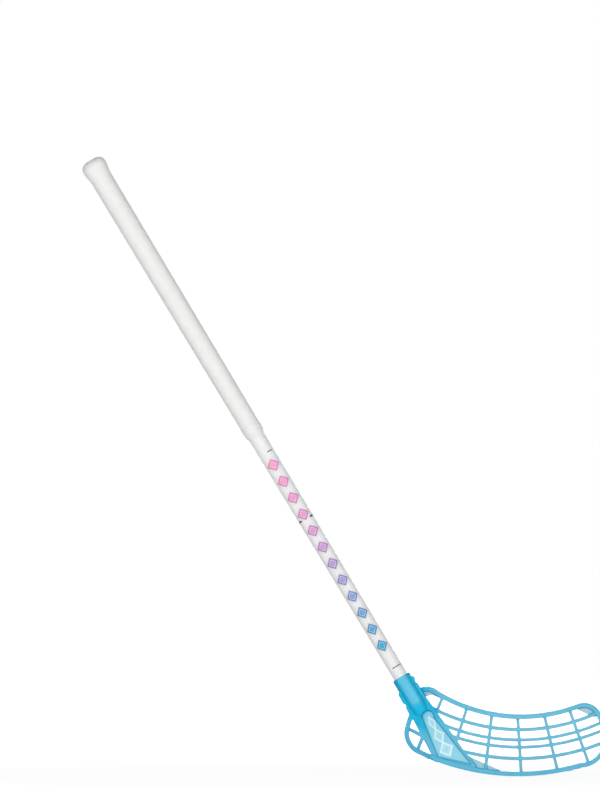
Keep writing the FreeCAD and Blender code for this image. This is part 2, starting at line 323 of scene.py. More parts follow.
class StageSettings(bpy.types.PropertyGroup):
    """Camera, light and floor"""

    aim: FloatVectorProperty(
        name="Aim", description="The point in the middle of the picture",
        default=(0.1892, 0, -0.1554), size=3, subtype="TRANSLATION",
    )
    distance: FloatProperty(
        name="Distance", description="From the camera to the stick", default=20.0, unit="LENGTH",
    )
    view_height: FloatProperty(
        name="View height", description="Height of what the picture shows", default=1.170, unit="LENGTH",
    )
    ambient: FloatProperty(
        name="Ambient", description="Strength of the light from all round", default=0.34, min=0,
    )
    key_power: FloatProperty(
        name="Key power", description="Power of the large lamp on the left in front",
        default=46, min=0, unit="POWER",
    )
    key_place: FloatVectorProperty(
        name="Key place", description="Place of the large lamp on the left in front",
        default=(-1.2, -3.4, -0.15), size=3, subtype="TRANSLATION",
    )
    fill_power: FloatProperty(
        name="Fill power", description="Power of the large lamp on the right in front",
        default=43.5, min=0, unit="POWER",
    )
    fill_place: FloatVectorProperty(
        name="Fill place", description="Place of the large lamp on the right in front",
        default=(1.6, -3.3, -0.15), size=3, subtype="TRANSLATION",
    )
    back_power: FloatProperty(
        name="Back power", description="Power of the large lamp behind", default=56, min=0, unit="POWER",
    )
    back_place: FloatVectorProperty(
        name="Back place", description="Place of the large lamp behind",
        default=(0.19, 3.4, -0.15), size=3, subtype="TRANSLATION",
    )
    lamp_size: FloatVectorProperty(
        name="Lamp size", description="Width and height of each lamp",
        default=(1.7, 1.0), size=2, unit="LENGTH",
    )
    floor_size: FloatProperty(
        name="Floor size", description="Side of the floor", default=14.0, unit="LENGTH",
    )


class Shader:
    """A material or a world in the making. Inputs are numbers, colours or the outputs of other nodes."""

    def __init__(self, owner):
        self.owner = owner
        owner.use_nodes = True
        self.tree = owner.node_tree
        self.surface = self.tree.nodes.get("Principled BSDF")

    def put(self, socket, value):
        if isinstance(value, bpy.types.NodeSocket):
            self.tree.links.new(value, socket)
        elif hasattr(value, "__len__"):
            parts = list(value)
            socket.default_value = parts + [1] if len(parts) < len(socket.default_value) else parts
        else:
            socket.default_value = value

    def node(self, kind, inputs=None, **settings):
        made = self.tree.nodes.new("ShaderNode" + kind)
        for key, value in settings.items():
            setattr(made, key, value)
        for key, value in (inputs or {}).items():
            self.put(made.inputs[key], value)
        return made

    def math(self, operation, *values, clamp=False):
        made = self.node("Math", operation=operation, use_clamp=clamp)
        for socket, value in zip(made.inputs, values):
            self.put(socket, value)
        return made.outputs[0]

    def mix(self, share, first, second):
        made = self.node("Mix", data_type="RGBA", clamp_factor=True)
        self.put(made.inputs[0], share)
        self.put(made.inputs[6], first)
        self.put(made.inputs[7], second)
        return made.outputs[2]

    def times(self, first, second):
        return self.node("VectorMath", {0: first, 1: second}, operation="MULTIPLY").outputs[0]

    def ramp(self, value, stops):
        made = self.node("ValToRGB", {"Fac": value})
        elements = made.color_ramp.elements
        while len(elements) < len(stops):
            elements.new(1)
        for element, (place, colour) in zip(elements, stops):
            element.position = place
            element.color = list(colour) + [1]
        return made.outputs[0]

    def spread(self, value, low, high, start=0.0, end=1.0, **settings):
        """Bring a value from the range of start and end to that of low and high."""
        return self.node("MapRange", {0: value, 1: start, 2: end, 3: low, 4: high}, **settings).outputs[0]

    def place(self):
        return self.node("TexCoord").outputs["Object"]

    def wrap(self):
        """Turns round the shaft, and metres along it."""
        parts = self.node("SeparateXYZ", {0: self.node("UVMap", uv_map="wrap").outputs[0]})
        return parts.outputs[0], parts.outputs[1]

    def attribute(self, name):
        return self.node("Attribute", attribute_name=name).outputs["Fac"]

    def noise(self, scale, detail=3.0, vector=None):
        inputs = {"Scale": scale, "Detail": detail, "Vector": vector or self.place()}
        return self.node("TexNoise", inputs).outputs[0]

    def bump(self, height, strength, distance, after=None):
        inputs = {"Height": height, "Strength": strength, "Distance": distance}
        if after:
            inputs["Normal"] = after
        return self.node("Bump", inputs).outputs[0]

    def finish(self, **inputs):
        for key, value in inputs.items():
            self.put(self.surface.inputs[key.replace("_", " ")], value)
        return self.owner


def lozenge_mask(shader, along, across, length, width):
    """1 inside a lozenge about the origin, with a crisp edge, and how far from its middle a point lies."""
    down = shader.math("DIVIDE", shader.math("ABSOLUTE", along), length / 2)
    aside = shader.math("DIVIDE", shader.math("ABSOLUTE", across), width / 2)
    middle_distance = shader.math("ADD", down, aside)
    crispness = 12
    edge = shader.math("MULTIPLY", shader.math("SUBTRACT", 1, middle_distance), crispness)
    return shader.math("MINIMUM", shader.math("MAXIMUM", edge, 0), 1), middle_distance


def box_mask(shader, value, low, high):
    """1 where a value lies between two limits."""
    above = shader.math("GREATER_THAN", value, low)
    return shader.math("MULTIPLY", above, shader.math("LESS_THAN", value, high))


def black_marks(shader, settings, along, across):
    """1 on the two wedges beside the print and on the lines above and below it."""
    aside = shader.math("ABSOLUTE", across)
    taper = shader.spread(aside, 0, 1.5 * settings.mark_width, settings.wedge_tip, settings.wedge_full)
    from_wedge = shader.math("ABSOLUTE", shader.math("SUBTRACT", along, settings.wedge_place))
    total = shader.math(
        "MULTIPLY", shader.math("LESS_THAN", from_wedge, taper),
        box_mask(shader, aside, settings.wedge_tip, settings.wedge_end),
    )
    half = 0.65 * settings.mark_width
    for middle, left, right in settings.lines():
        line = box_mask(shader, along, middle - half, middle + half)
        line = shader.math("MULTIPLY", line, box_mask(shader, across, left, right))
        total = shader.math("MAXIMUM", total, line)
    return total


def lacquer_material(settings):
    """White lacquer with a row of lozenges that fades from pink to blue, and thin black marks."""
    shader = Shader(bpy.data.materials.new("shaft_lacquer"))
    turns, along = shader.wrap()
    across = shader.math("MULTIPLY", turns, math.tau * tube_radius((SHAFT_LOW + GRIP_LOW) / 2))

    length = settings.print_top - settings.print_bottom
    last = settings.lozenges - 1
    pitch = length / last
    from_top = shader.math("SUBTRACT", settings.print_top, along)
    place = shader.math("DIVIDE", from_top, pitch)
    cell = shader.math("ROUND", shader.math("MINIMUM", shader.math("MAXIMUM", place, 0), last))
    from_cell = shader.math("MULTIPLY", shader.math("SUBTRACT", place, cell), pitch)
    inked, middle_distance = lozenge_mask(
        shader, from_cell, across, settings.lozenge_length, settings.lozenge_width
    )
    ink = shader.ramp(shader.math("DIVIDE", from_top, length, clamp=True), (
        (0.00, (0.93, 0.32, 0.60)),
        (0.34, (0.76, 0.30, 0.61)),
        (0.56, (0.42, 0.30, 0.63)),
        (0.78, (0.17, 0.34, 0.67)),
        (1.00, (0.035, 0.37, 0.63)),
    ))
    # Each lozenge has a darker border, a pale line inside that, and a faint halo round it.
    line_start, border_start, halo_end = 0.54, 0.66, 1.55
    border = shader.math("GREATER_THAN", middle_distance, border_start)
    ink = shader.times(ink, shader.mix(border, (1, 1, 1), (0.72, 0.72, 0.74)))
    line = box_mask(shader, middle_distance, line_start, border_start)
    ink = shader.mix(shader.math("MULTIPLY", line, 0.55), ink, settings.lacquer)
    halo = shader.math("MULTIPLY", shader.spread(middle_distance, 1, 0, 1.0, halo_end), 0.16)

    stained = [0.965 * part for part in settings.lacquer]
    base = shader.mix(shader.spread(shader.noise(9, 4), 0, 0.5), settings.lacquer, stained)
    colour = shader.mix(inked, shader.mix(halo, base, ink), ink)
    marks = black_marks(shader, settings, along, across)
    colour = shader.mix(shader.math("MULTIPLY", marks, 0.92), colour, (0.012, 0.012, 0.013))

    normal = shader.bump(shader.noise(900, 2), 0.06, 0.0002)
    normal = shader.bump(shader.math("MAXIMUM", inked, marks), 0.25, 0.00004, normal)
    return shader.finish(
        Base_Color=colour, Roughness=shader.spread(shader.noise(30, 3), 0.36, 0.48),
        Normal=normal, Specular_IOR_Level=0.3,
    )


def cushion_material(settings):
    """Matte cushion tape: fine skin grain, painted shade in the grooves under the laps and soft blotches.
    """
    shader = Shader(bpy.data.materials.new("cushion_tape"))
    grain = shader.noise(1500, 2)
    pores = shader.node("TexVoronoi", {"Scale": 900, "Vector": shader.place()}).outputs[0]
    # Painted shade darkens the grooves under the laps; soft random blotches darken the tape as well.
    shaded_and_blotched = [share * part for share, part in zip((0.93, 0.925, 0.91), settings.tape)]
    lap_shade_and_blotches = shader.math(
        "ADD", shader.spread(shader.attribute("lap"), 0.2, 0.0), shader.spread(shader.noise(14, 5), 0, 0.3)
    )
    normal = shader.bump(pores, 0.22, 0.00012)
    normal = shader.bump(grain, 0.25, 0.00010, normal)
    return shader.finish(
        Base_Color=shader.mix(lap_shade_and_blotches, settings.tape, shaded_and_blotched),
        Roughness=shader.spread(shader.noise(60, 3), 0.62, 0.78),
        Normal=normal, Specular_IOR_Level=0.3, Sheen_Weight=0.05,
    )


def band_material(settings):
    """Stretched finishing tape: satin film with fine creases round it."""
    shader = Shader(bpy.data.materials.new("band_film"))
    turns, along = shader.wrap()
    stretch = shader.node("CombineXYZ", {
        0: shader.math("MULTIPLY", turns, 6),
        1: shader.math("MULTIPLY", along, 900),
    }).outputs[0]
    creases = shader.noise(1, 3, stretch)
    worn = [0.95 * part for part in settings.band]
    return shader.finish(
        Base_Color=shader.mix(shader.spread(shader.noise(40, 4), 0, 0.6), settings.band, worn),
        Roughness=shader.spread(creases, 0.38, 0.56),
        Normal=shader.bump(creases, 0.45, 0.0003), Specular_IOR_Level=0.4,
    )


def cap_material(settings):
    """Matte moulded plastic with an eroded skin."""
    shader = Shader(bpy.data.materials.new("cap_plastic"))
    worn = [0.95 * part for part in settings.cap]
    return shader.finish(
        Base_Color=shader.mix(shader.noise(50, 4), settings.cap, worn),
        Roughness=shader.spread(shader.noise(90, 3), 0.48, 0.62),
        Normal=shader.bump(shader.noise(1800, 3), 0.3, 0.00012), Specular_IOR_Level=0.4,
    )


def glue_material():
    """Clear hot melt, cloudy and with small bubbles."""
    shader = Shader(bpy.data.materials.new("hot_melt"))
    bubbles = shader.noise(700, 3)
    return shader.finish(
        Base_Color=shader.mix(shader.noise(120, 4), (0.86, 0.86, 0.83), (0.74, 0.76, 0.72)),
        Roughness=shader.spread(bubbles, 0.15, 0.4),
        Normal=shader.bump(bubbles, 0.4, 0.0002), Subsurface_Weight=0.2, Subsurface_Scale=0.002,
    )


def panel_motif(shader, settings):
    """Three outlined lozenges that grow down the thin panel of the blade's outer side."""
    parts = shader.node("SeparateXYZ", {0: shader.place()})
    east = shader.math("SUBTRACT", parts.outputs[0], settings.panel_top[0])
    down = shader.math("SUBTRACT", settings.panel_top[1], parts.outputs[2])
    lean = (math.sin(settings.panel_lean), math.cos(settings.panel_lean))
    along = shader.math(
        "ADD", shader.math("MULTIPLY", east, lean[0]), shader.math("MULTIPLY", down, lean[1])
    )
    across = shader.math(
        "SUBTRACT", shader.math("MULTIPLY", east, lean[1]), shader.math("MULTIPLY", down, lean[0])
    )
    outline_start = 0.74
    total = 0
    for middle, length, width in settings.panel_lozenges():
        from_middle = shader.math("SUBTRACT", along, middle)
        inside, distance = lozenge_mask(shader, from_middle, across, length, width)
        outline = shader.math("GREATER_THAN", distance, outline_start)
        fill = shader.spread(distance, 0.08, 0.42, 0.0, outline_start)
        drawn = shader.math("MULTIPLY", inside, shader.math("MAXIMUM", outline, fill))
        total = shader.math("MAXIMUM", total, drawn)
    return shader.math("MULTIPLY", total, shader.attribute("panel"))


def blade_material(settings):
    """Translucent moulding: pale where it is thin, deep where it is thick, with a satin mould skin,
    painted shade at edges and walls, and a socket lighter over the shaft with a painted highlight.
    """
    shader = Shader(bpy.data.materials.new("blade_plastic"))
    body = shader.ramp(shader.math("DIVIDE", shader.attribute("depth"), DEEPEST, clamp=True), (
        (0.12, settings.thin),
        (0.25, settings.rib),
        (0.40, settings.rim),
        (0.60, settings.fin),
        (0.75, settings.deep),
        (1.00, settings.thick),
    ))
    body = shader.mix(shader.attribute("web"), body, settings.web)
    # The socket's lighter middle: partly the shaft seen through the wall, partly a painted highlight.
    body = shader.mix(shader.math("MULTIPLY", shader.attribute("core"), 0.85), body, settings.core)
    # Painted shade: the edge layer darkens edges, walls and the heel loop with the edge tint.
    body = shader.times(body, shader.mix(shader.attribute("edge"), (1, 1, 1), settings.edge))
    body = shader.mix(panel_motif(shader, settings), body, settings.motif)
    body = shader.times(body, shader.spread(shader.noise(38, 4), 0.92, 1.06))
    return shader.finish(
        Base_Color=body, Roughness=shader.spread(shader.noise(220, 5), 0.30, 0.44),
        Normal=shader.bump(shader.noise(1300, 2), 0.12, 0.00012), Specular_IOR_Level=0.15,
        Subsurface_Weight=0.25, Subsurface_Radius=(0.35, 0.9, 1.0), Subsurface_Scale=0.004,
        Transmission_Weight=0.1,
    )


def at(radius, along):
    """A point of a half profile, on the shaft's back, where the seams of spun pieces lie."""
    return AXIS * along - FRONT * radius


def spun(bm, points, closed=False):
    """Spin a half profile of radii and stations about the shaft's axis."""
    corners = [bm.verts.new(at(*point)) for point in points]
    edges = [bm.edges.new(pair) for pair in zip(corners, corners[1:])]
    if closed:
        edges.append(bm.edges.new((corners[-1], corners[0])))
    bmesh.ops.spin(
        bm, geom=corners + edges, cent=(0, 0, 0), axis=AXIS, angle=math.tau,
        steps=ROUND_STEPS, use_merge=True, use_normal_flip=False, use_duplicate=False,
    )
    bmesh.ops.remove_doubles(bm, verts=bm.verts, dist=0.001 * MM)


def bezier(first, first_handle, last_handle, last, count):
    """Points of a smooth run of a half profile, without its first point."""
    knots = [Vector((*point, 0)) for point in (first, first_handle, last_handle, last)]
    return [(point.x, point.y) for point in interpolate_bezier(*knots, count)[1:]]


def wrap_uv(bm):
    """A UV map with turns round the shaft across and metres along it upwards."""
    layer = bm.loops.layers.uv.new("wrap")
    for face in bm.faces:
        middle = turn(face.calc_center_median())
        for loop in face.loops:
            place = turn(loop.vert.co)
            loop[layer].uv = (place - round(place - middle), station(loop.vert.co))


def add_piece(name, bm, material, node):
    """Turn a finished bmesh into a piece that stands for a node of the frame."""
    if not bm.faces or any(edge.is_boundary for edge in bm.edges):
        raise RuntimeError(f"The piece {name} isn't a closed mesh")
    mesh = bpy.data.meshes.new(name)
    bm.to_mesh(mesh)
    bm.free()
    mesh.materials.append(material)
    mesh.shade_smooth()
    mesh.set_sharp_from_angle(angle=math.radians(40))
    piece = bpy.data.objects.new(name, mesh)
    bpy.context.scene.collection.objects.link(piece)
    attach(piece, "root")
    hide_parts(node)
    return piece


class STICK_OT_turn_shaft(bpy.types.Operator):
    """Turn the tapered shaft and print it"""

    bl_idname = "stick.turn_shaft"
    bl_label = "Turn Shaft"

    # How far the tube's outer edges are chamfered.
    soft = 0.3 * MM

    def execute(self, context):
        settings = context.scene.stick_shaft
        low, high = SHAFT_LOW + self.soft, SHAFT_HIGH - self.soft
        points = [(LOWER_RADIUS - self.soft, SHAFT_LOW)]
        for count in range(settings.rings + 1):
            along = low + (high - low) * count / settings.rings
            points.append((tube_radius(along), along))
        points.append((UPPER_RADIUS - self.soft, SHAFT_HIGH))
        for count in reversed(range(settings.bore_rings + 1)):
            share = count / settings.bore_rings
            points.append((
                LOWER_BORE + (UPPER_BORE - LOWER_BORE) * share,
                SHAFT_LOW + (SHAFT_HIGH - SHAFT_LOW) * share,
            ))
        bm = bmesh.new()
        spun(bm, points, closed=True)
        bmesh.ops.recalc_face_normals(bm, faces=bm.faces)
        wrap_uv(bm)
        add_piece("shaft", bm, lacquer_material(settings), "shaft_tube")
        return {"FINISHED"}


class STICK_OT_wind_grip(bpy.types.Operator):
    """Wind the cushion tape up the shaft and pull it over the knob"""

    bl_idname = "stick.wind_grip"
    bl_label = "Wind Grip"

    # One turn of tape from lap to lap: shares of the pitch, and of the lap's height.
    lap_shares = (
        (0.000, 0.00), (0.030, 0.25), (0.055, 0.85), (0.085, 1.00), (0.150, 0.98),
        (0.300, 0.80), (0.500, 0.55), (0.700, 0.32), (0.850, 0.14), (0.940, 0.04),
    )
    # The spiral is wound on a straight guide first. Its laps run out over a length at both ends, below
    # after a plain start. A share of their height lies under the tape's mean skin.
    guide_radius = 0.02
    lap_run_out = 0.03
    lap_start = 0.004
    mean_lap_share = 0.45

    def wound_tube(self, bm, settings, low, high):
        """The spiral between two stations, laps and all, brought to the shaft's taper."""
        pitch = settings.pitch
        start = low - 2 * pitch
        turns = math.ceil((high - start) / pitch) + 2
        profile = [
            (self.guide_radius + height * settings.lap_height, start + (count + share) * pitch)
            for count in range(turns)
            for share, height in self.lap_shares
        ]
        corners = [bm.verts.new(at(*point)) for point in profile]
        edges = [bm.edges.new(pair) for pair in zip(corners, corners[1:])]
        bmesh.ops.spin(
            bm, geom=corners + edges, cent=(0, 0, 0), axis=AXIS, angle=math.tau, steps=ROUND_STEPS,
            dvec=AXIS * (pitch / ROUND_STEPS), use_merge=False, use_normal_flip=False, use_duplicate=False,
        )
        bmesh.ops.remove_doubles(bm, verts=bm.verts, dist=0.01 * MM)
        for place, normal in ((low, -AXIS), (high, AXIS)):
            bmesh.ops.bisect_plane(
                bm, geom=bm.verts[:] + bm.edges[:] + bm.faces[:], plane_co=AXIS * place,
                plane_no=normal, clear_outer=True, dist=0.001 * MM,
            )
        layer = bm.verts.layers.float.new("lap")
        for vertex in bm.verts:
            along = station(vertex.co)
            lap = off_axis(vertex.co) - self.guide_radius
            shown = ease(along, low + self.lap_start, low + self.lap_run_out)
            shown *= ease(along, high, high - self.lap_run_out)
            height = tube_radius(along) + GRIP_SKIN
            height += shown * (lap - self.mean_lap_share * settings.lap_height)
            outward = (vertex.co - AXIS * along).normalized()
            # The lap layer is 0 in the groove under a lap and 1 on its crest; the tape's painted shade
            # follows it.
            vertex[layer] = 1 - shown * (1 - lap / settings.lap_height)
            vertex.co = AXIS * along + outward * height

    def knob(self, settings):
        """The knob and the tape's inside as a mesh, from the neck over the butt to the lower end."""
        neck = BUTT - settings.neck_drop
        flare = BUTT - settings.knob_drop
        bend = (neck + flare) / 2
        neck_radius = tube_radius(neck) + GRIP_SKIN
        hole = CAP_FACE_RADIUS + GAP
        brink = (hole + 0.6 * MM, BUTT - 0.8 * MM)
        tape_end = COLLAR_LOW - GAP
        points = [(neck_radius, neck)]
        points += bezier(points[-1], (neck_radius, bend), (KNOB_RADIUS, bend), (KNOB_RADIUS, flare), 16)
        points += bezier(
            (KNOB_RADIUS, flare), (KNOB_RADIUS, flare + 0.6 * settings.knob_drop),
            (hole + 4.2 * MM, BUTT - 1.5 * MM), brink, 16,
        )
        points += bezier(
            brink, (hole + 0.2 * MM, BUTT - 0.75 * MM),
            (hole, BUTT - 0.9 * MM), (hole, BUTT - 1.3 * MM), 5,
        )
        points += [
            (hole, BUTT - (GRIP_SKIN - GAP)),
            (FLARE_RADIUS + GAP, flare),
            (tube_radius(tape_end) + 0.8 * MM, tape_end),
            (tube_radius(tape_end) + GAP, tape_end),
            (tube_radius(GRIP_LOW) + GAP, GRIP_LOW),
        ]
        bm = bmesh.new()
        spun(bm, points)
        mesh = bpy.data.meshes.new("knob")
        bm.to_mesh(mesh)
        bm.free()
        return mesh

    def execute(self, context):
        settings = context.scene.stick_grip
        bm = bmesh.new()
        self.wound_tube(bm, settings, GRIP_LOW, BUTT - settings.neck_drop - 2 * MM)
        wound = set(bm.verts)
        knob = self.knob(settings)
        bm.from_mesh(knob)
        bpy.data.meshes.remove(knob)
        layer = bm.verts.layers.float["lap"]
        for vertex in bm.verts:
            if vertex not in wound:
                # No painted shade on the knob and the tape's ends.
                vertex[layer] = 1
        rims = [edge for edge in bm.edges if edge.is_boundary]
        for low_end in (True, False):
            pair = [
                edge for edge in rims
                if (abs(station(edge.verts[0].co) - GRIP_LOW) < 0.5 * MM) == low_end
            ]
            bmesh.ops.bridge_loops(bm, edges=pair)
        bmesh.ops.recalc_face_normals(bm, faces=bm.faces)
        wrap_uv(bm)
        add_piece("grip", bm, cushion_material(settings), "grip_tape")
        return {"FINISHED"}


class STICK_OT_bind_grip(bpy.types.Operator):
    """Bind the lower end of the grip with its finish band"""

    bl_idname = "stick.bind_grip"
    bl_label = "Bind Grip"

    # The band's lap climbs by this much per turn. Its lower and upper edge lie between these heights.
    lap_climb = 0.09
    lap_lower_edge = (-0.0035, -0.0028)
    lap_upper_edge = (0.008, 0.012)

    def profile(self):
        """Half profile of the band: its outside from the top down, then its inside."""
        seat = GRIP_SKIN + GAP
        top = tube_radius(BAND_HIGH) + seat
        crown = tube_radius(GRIP_LOW) + seat + 0.5 * MM
        tail = tube_radius(BAND_LOW) + GAP
        step = GRIP_LOW - GAP
        points = [(top, BAND_HIGH), (top + 0.2 * MM, BAND_HIGH)]
        points += bezier(
            points[-1], (crown, GRIP_LOW + 3 * MM), (crown, GRIP_LOW), (crown, GRIP_LOW - 4 * MM), 20,
        )
        points += bezier(
            points[-1], (crown, GRIP_LOW - 8 * MM),
            (tail + 1.7 * MM, BAND_LOW + 4 * MM), (tail + 0.9 * MM, BAND_LOW + 0.8 * MM), 36,
        )
        points += bezier(
            points[-1], (tail + 0.7 * MM, BAND_LOW + 0.2 * MM),
            (tail + 0.5 * MM, BAND_LOW), (tail + 0.2 * MM, BAND_LOW), 5,
        )
        points += [(tail, BAND_LOW), (tube_radius(step) + GAP, step), (tube_radius(step) + seat, step)]
        return points

    def execute(self, context):
        settings = context.scene.stick_grip
        bm = bmesh.new()
        spun(bm, self.profile(), closed=True)
        for vertex in bm.verts:
            along = station(vertex.co)
            outward = vertex.co - AXIS * along
            if outward.length > tube_radius(along) + 0.25 * MM and along < BAND_HIGH - 0.1 * MM:
                height = turn(vertex.co) * self.lap_climb + along - GRIP_LOW
                lifted = ease(height, *self.lap_lower_edge) * (1 - ease(height, *self.lap_upper_edge))
                lifted *= ease(along, BAND_LOW, BAND_LOW + 3 * MM)
                vertex.co += outward.normalized() * (settings.band_lift * lifted)
        bmesh.ops.recalc_face_normals(bm, faces=bm.faces)
        wrap_uv(bm)
        add_piece("finish_band", bm, band_material(settings), "grip_finish_band")
        return {"FINISHED"}


class STICK_OT_plug_butt(bpy.types.Operator):
    """Plug the butt with the end cap"""

    bl_idname = "stick.plug_butt"
    bl_label = "Plug Butt"

    # Wall of the cap's spigot, and depth of the dimple in the middle of its face.
    wall = 2 * MM
    dimple = 0.35 * MM

    def execute(self, context):
        settings = context.scene.stick_grip
        face = CAP_FACE_RADIUS
        bore = UPPER_BORE - GAP
        points = [(0, BUTT - self.dimple), (1.6 * MM, BUTT - self.dimple), (2.0 * MM, BUTT)]
        points += [(face - 2.2 * MM, BUTT), (face - 1.9 * MM, BUTT - 0.3 * MM), (face - 1.6 * MM, BUTT)]
        points += bezier(
            (face - 0.8 * MM, BUTT), (face - 0.3 * MM, BUTT),
            (face, BUTT - 0.3 * MM), (face, BUTT - 0.8 * MM), 5,
        )
        points += [
            (face, BUTT - GRIP_SKIN),
            (FLARE_RADIUS, BUTT - settings.knob_drop),
            (tube_radius(COLLAR_LOW) + 0.6 * MM, COLLAR_LOW),
            (tube_radius(COLLAR_LOW) + GAP, COLLAR_LOW),
            (UPPER_RADIUS + GAP, SHAFT_HIGH),
            (bore, SHAFT_HIGH),
            (bore - 0.2 * MM, CAP_LOW),
            (bore - self.wall, CAP_LOW),
            (bore - self.wall, SHAFT_HIGH),
            (0, SHAFT_HIGH),
        ]
        bm = bmesh.new()
        spun(bm, points)
        bmesh.ops.recalc_face_normals(bm, faces=bm.faces)
        wrap_uv(bm)
        add_piece("end_cap", bm, cap_material(settings), "butt_cap")
        return {"FINISHED"}


class STICK_OT_mould_blade(bpy.types.Operator):
    """Mould the blade: round all its edges, measure how thick the plastic is, and mark where painted shade
    and highlight go
    """

    bl_idname = "stick.mould_blade"
    bl_label = "Mould Blade"

    # Depths of plastic: of walls, of the socket in front of the shaft and beside it, of the fins, the
    # most that a panel has, the least and most of a web, and the least of a rib.
    wall_depth = 0.0075
    socket_depth = 0.0072
    socket_side_depth = 0.0202
    fin_depth = 0.0162
    panel_depth = 0.0042
    web_depths = (0.0035, 0.0053)
    rib_depth = 0.006

    # Where one part passes into the next, as a start and an end: from the middle of neck and socket to
    # their sides, past the neck and down from the shaft's end, from the wing to the heel loop, and from
    # flat faces to their edges, where the painted shade sets in.
    neck_sides = (0.005, 0.012)
    socket_sides = (0.34, 0.72)
    neck_reach = (0.020, 0.034)
    neck_drops = (0.055, 0.012)
    heel_across = (-0.0235, -0.026)
    heel_along = (-0.004, 0.006)
    shade_turns = (0.15, 0.7)

    # How far a face looks along the line of sight: walls less than the first, webs more than the second,
    # and the panel's outer side more than the third. The heel loop takes a share of the edges' painted
    # shade.
    wall_facing = 0.6
    web_facing = 0.75
    outer_facing = 0.6
    heel_shade = 0.6

    # A ray that measures depth starts just under the skin. If it ends within this room round the shaft,
    # it has met the socket's bore.
    ray_start = 0.05 * MM
    ray_length = 0.05
    bore_room = 1.6 * MM

    # How often each measure is blurred.
    blurs = {"depth": 4, "core": 6, "web": 2}

    def softened(self, settings):
        """A copy of the CAD blade with moulded edges and fillets, as a mesh."""
        bm = bmesh.new()
        bm.from_mesh(frame["nodes"]["blade"].data)
        bmesh.ops.remove_doubles(bm, verts=bm.verts, dist=0.02 * MM)
        mesh = bpy.data.meshes.new("blade")
        bm.to_mesh(mesh)
        bm.free()
        blank = bpy.data.objects.new("blade_blank", mesh)
        bpy.context.scene.collection.objects.link(blank)
        remesh = blank.modifiers.new("remesh", "REMESH")
        remesh.mode = "VOXEL"
        remesh.voxel_size = settings.voxel
        smooth = blank.modifiers.new("smooth", "SMOOTH")
        smooth.factor = 0.5
        smooth.iterations = settings.smoothing
        thin_out = blank.modifiers.new("thin_out", "DECIMATE")
        thin_out.ratio = settings.kept_share
        shaped = bpy.data.meshes.new_from_object(
            blank.evaluated_get(bpy.context.evaluated_depsgraph_get())
        )
        bpy.data.objects.remove(blank)
        bpy.data.meshes.remove(mesh)
        return shaped

    def moulded(self, settings):
        """The softened blade, swollen until it holds as much plastic as the CAD blade."""
        bm = bmesh.new()
        bm.from_mesh(frame["nodes"]["blade"].data)
        poured = bm.calc_volume()
        bm.clear()
        bm.from_mesh(self.softened(settings))
        bm.normal_update()
        lost = (poured - bm.calc_volume()) / sum(face.calc_area() for face in bm.faces)
        for vertex in bm.verts:
            vertex.co += vertex.normal * lost
        return bm

    def measure(self, vertex, layers, tree, settings):
        """Note how deep the plastic looks at a point, which part of the blade it lies in, and where
        painted shade and highlight go.
        """
        point, inward = vertex.co, -vertex.normal
        facing = abs(inward.y)
        aside = abs(point.dot(RIGHT))
        along, across = settings.on_panel(point)
        most = DEEPEST + (self.fin_depth - DEEPEST) * ease(aside, *self.neck_sides)
        bore = LOWER_RADIUS + self.bore_room
        hit, _, _, depth = tree.ray_cast(point + inward * self.ray_start, inward, self.ray_length)
        if hit is None:
            depth = self.wall_depth
        elif station(hit) > SHAFT_LOW and off_axis(hit) < bore < off_axis(point):
            # In front of and behind the shaft the socket is marked lighter, partly for the shaft seen
            # through the thin wall and partly as a painted highlight; its sides stay deep.
            side = ease(aside / off_axis(point), *self.socket_sides)
            depth = self.socket_depth + (self.socket_side_depth - self.socket_depth) * side
            vertex[layers["core"]] = 1 - side
        else:
            depth = min(depth, most)

        if inward.y > self.outer_facing and depth < self.panel_depth:
            vertex[layers["panel"]] = 1
        # Painted shade: faces that turn away from the front, and the heel loop, are marked to be darkened.
        in_heel = ease(across, *self.heel_across) * ease(along, *self.heel_along)
        vertex[layers["edge"]] = max(ease(1 - facing, *self.shade_turns), self.heel_shade * in_heel)
        like_web = facing > self.web_facing and self.web_depths[0] < depth < self.web_depths[1]
        if like_web and settings.beside_panel(along, across):
            vertex[layers["web"]] = 1

        if facing < self.wall_facing:
            depth = max(depth, self.wall_depth)
        if depth > self.rib_depth:
            near = ease(station(point), *(SHAFT_LOW - drop for drop in self.neck_drops))
            near *= 1 - ease(off_axis(point), *self.neck_reach)
            depth += near * (1 - vertex[layers["core"]]) * max(most - depth, 0)
        vertex[layers["depth"]] = depth

    def blur(self, bm, layer):
        """Give each point the mean of its neighbours."""
        means = []
        for vertex in bm.verts:
            values = [edge.other_vert(vertex)[layer] for edge in vertex.link_edges]
            means.append(sum(values) / len(values))
        for vertex, mean in zip(bm.verts, means):
            vertex[layer] = mean

    def execute(self, context):
        settings = context.scene.stick_blade
        bm = self.moulded(settings)
        tree = BVHTree.FromBMesh(bm)
        names = ("depth", "core", "web", "panel", "edge")
        for name in names:
            bm.verts.layers.float.new(name)
        layers = {name: bm.verts.layers.float[name] for name in names}
        for vertex in bm.verts:
            self.measure(vertex, layers, tree, settings)
        for name, passes in self.blurs.items():
            for _ in range(passes):
                self.blur(bm, layers[name])
        add_piece("moulded_blade", bm, blade_material(settings), "blade")
        return {"FINISHED"}


class STICK_OT_melt_glue(bpy.types.Operator):
    """Give the glue film in the socket its hot-melt finish"""

    bl_idname = "stick.melt_glue"
    bl_label = "Melt Glue"

    def execute(self, context):
        film = frame["nodes"]["socket_glue"]
        film.data.materials.clear()
        film.data.materials.append(glue_material())
        return {"FINISHED"}


